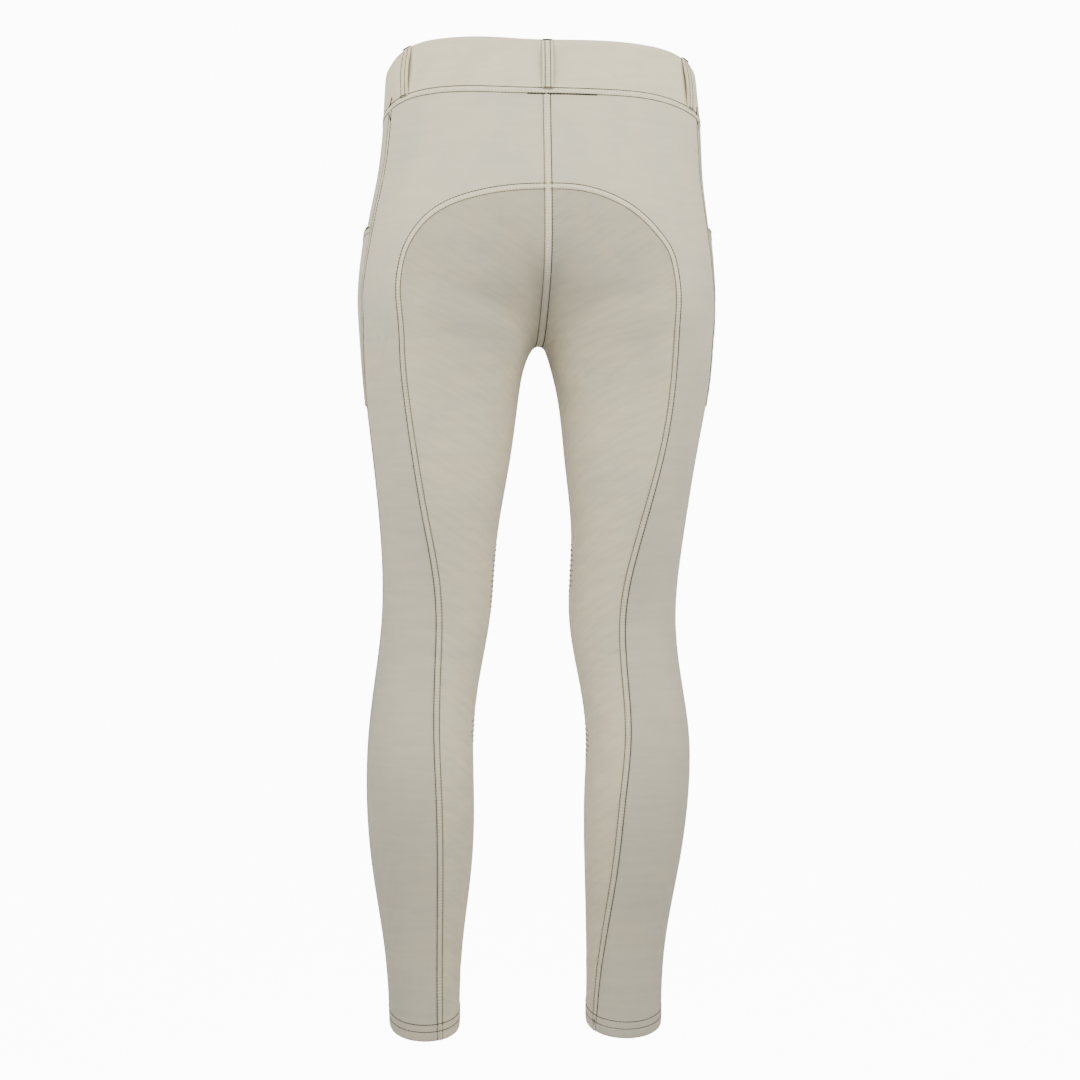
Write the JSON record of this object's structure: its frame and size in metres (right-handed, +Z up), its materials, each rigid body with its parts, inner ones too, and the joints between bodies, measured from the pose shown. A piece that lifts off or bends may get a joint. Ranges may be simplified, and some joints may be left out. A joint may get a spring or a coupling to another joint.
{
  "type": "riding tights",
  "caption": "full-seat riding tights in light stretch cloth, with a wide high waistband, belt loops, thigh pockets and a seat panel that runs down the inner legs, open at waist and hems",
  "frame": {"origin": "the middle of the waistband ring, 0.03 m below its rim at the back", "axes": "+Z up along the wearer, the wearer faces -Y, the wearer's left leg is at +X"},
  "size_m": [0.3568, 0.2336, 0.9746],
  "materials": {
    "stretch_cloth": "fine matt stretch weave",
    "seat_cloth": "brushed stretch weave",
    "waistband_cloth": "doubled stretch weave"
  },
  "bodies": {
    "root": {"front_left": "stretch_cloth", "front_right": "stretch_cloth", "outer_back_left": "stretch_cloth", "outer_back_right": "stretch_cloth", "pocket_left": "stretch_cloth", "pocket_right": "stretch_cloth", "seat_left": "seat_cloth", "seat_right": "seat_cloth", "waistband_front": "waistband_cloth", "waistband_back": "waistband_cloth", "loop_centre_back": "waistband_cloth", "loop_left_back": "waistband_cloth", "loop_right_back": "waistband_cloth", "loop_left_front": "waistband_cloth", "loop_right_front": "waistband_cloth"}
  },
  "joints": []
}
